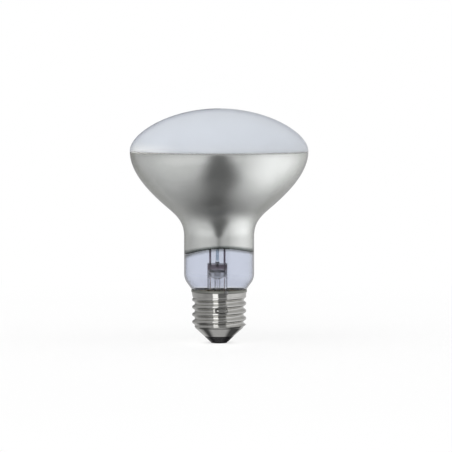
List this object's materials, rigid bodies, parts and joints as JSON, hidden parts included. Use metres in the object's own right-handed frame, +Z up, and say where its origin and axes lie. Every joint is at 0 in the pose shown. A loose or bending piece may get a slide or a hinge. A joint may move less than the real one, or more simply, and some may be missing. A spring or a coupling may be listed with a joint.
{
  "type": "reflector bulb",
  "caption": "Mirrored reflector lamp with a pale domed face, a clear neck that shows its glass mount, and a right-hand Edison screw cap.",
  "frame": {"origin": "middle of the centre contact's flat face, on the axis of the cap", "axes": "+Z up the bulb to the top of the dome, -Y to the front, which shows the glass mount broad side on, +X to the right of the front"},
  "size_m": [0.0869, 0.0868, 0.1142],
  "materials": {
    "clear_glass": "clear, blown, very pale blue",
    "diffuser_film": "even pale blue-grey powder film seen through gloss glass",
    "mirror_film": "silver mirror seen through gloss glass",
    "mount_glass": "clear lead glass, flame worked",
    "inner_lead": "dark oxidised wire",
    "seal_wire": "red borated copper",
    "copper_lead": "dull copper wire",
    "support_wire": "drawn wire",
    "filament": "coiled grey tungsten",
    "cap_metal": "nickel plated, rolled, slightly worn",
    "black_glass": "poured black glass",
    "contact_metal": "dull stamped brass",
    "solder": "tin solder",
    "cement": "baked beige cement"
  },
  "bodies": {
    "root": {"envelope": "clear_glass", "face_diffuser": "diffuser_film", "reflector_coating": "mirror_film", "stem_flare": "mount_glass", "exhaust_tube": "mount_glass", "arbor_rod": "mount_glass", "inner_lead_left": "inner_lead", "inner_lead_right": "inner_lead", "seal_wire_left": "seal_wire", "seal_wire_right": "seal_wire", "outer_lead_centre": "copper_lead", "outer_lead_side": "copper_lead", "support_wire_1": "support_wire", "support_wire_2": "support_wire", "support_wire_3": "support_wire", "filament": "filament", "cap_shell": "cap_metal", "cap_insulator": "black_glass", "centre_contact": "contact_metal", "contact_solder": "solder", "side_solder": "solder", "basing_cement": "cement"}
  },
  "joints": []
}
